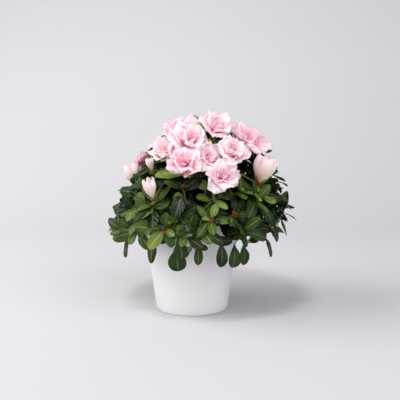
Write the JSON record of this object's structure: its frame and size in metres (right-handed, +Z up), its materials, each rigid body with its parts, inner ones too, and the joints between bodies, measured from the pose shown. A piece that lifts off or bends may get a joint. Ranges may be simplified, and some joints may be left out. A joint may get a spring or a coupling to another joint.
{
  "type": "azalea shrub in pot",
  "caption": "Dome-shaped flowering azalea shrub, with a woody stem, boughs, leaf masses and pink double flowers, in a plain tapered pot.",
  "frame": {"origin": "centre of the pot's flat underside", "axes": "+Z up along the pot's axis, -Y towards the front of the plant, +X to the plant's right as seen from the front"},
  "size_m": [0.2701, 0.2739, 0.2841],
  "materials": {
    "pot": "smooth satin white glaze",
    "soil": "loose dark peat",
    "bark": "fine brown fissured bark",
    "foliage": "leathery dark green leaves with a soft gloss",
    "blossom": "thin ruffled pink petals"
  },
  "bodies": {
    "root": {"pot": "pot", "soil": "soil", "stem": "bark", "bough_front": "bark", "bough_right_front": "bark", "bough_right_back": "bark", "bough_back": "bark", "bough_left_back": "bark", "bough_left_front": "bark", "bough_top": "bark", "leaves_low_front": "foliage", "leaves_low_right_front": "foliage", "leaves_low_right_back": "foliage", "leaves_low_back": "foliage", "leaves_low_left_back": "foliage", "leaves_low_left_front": "foliage", "leaves_mid_left": "foliage", "leaves_mid_right": "foliage", "leaves_mid_back": "foliage", "leaves_mid_left_back": "foliage", "leaves_top_right": "foliage", "leaves_top_left": "foliage", "flowers_front_left": "blossom", "flowers_front_right": "blossom", "flowers_back": "blossom", "flowers_left": "blossom"}
  },
  "joints": []
}
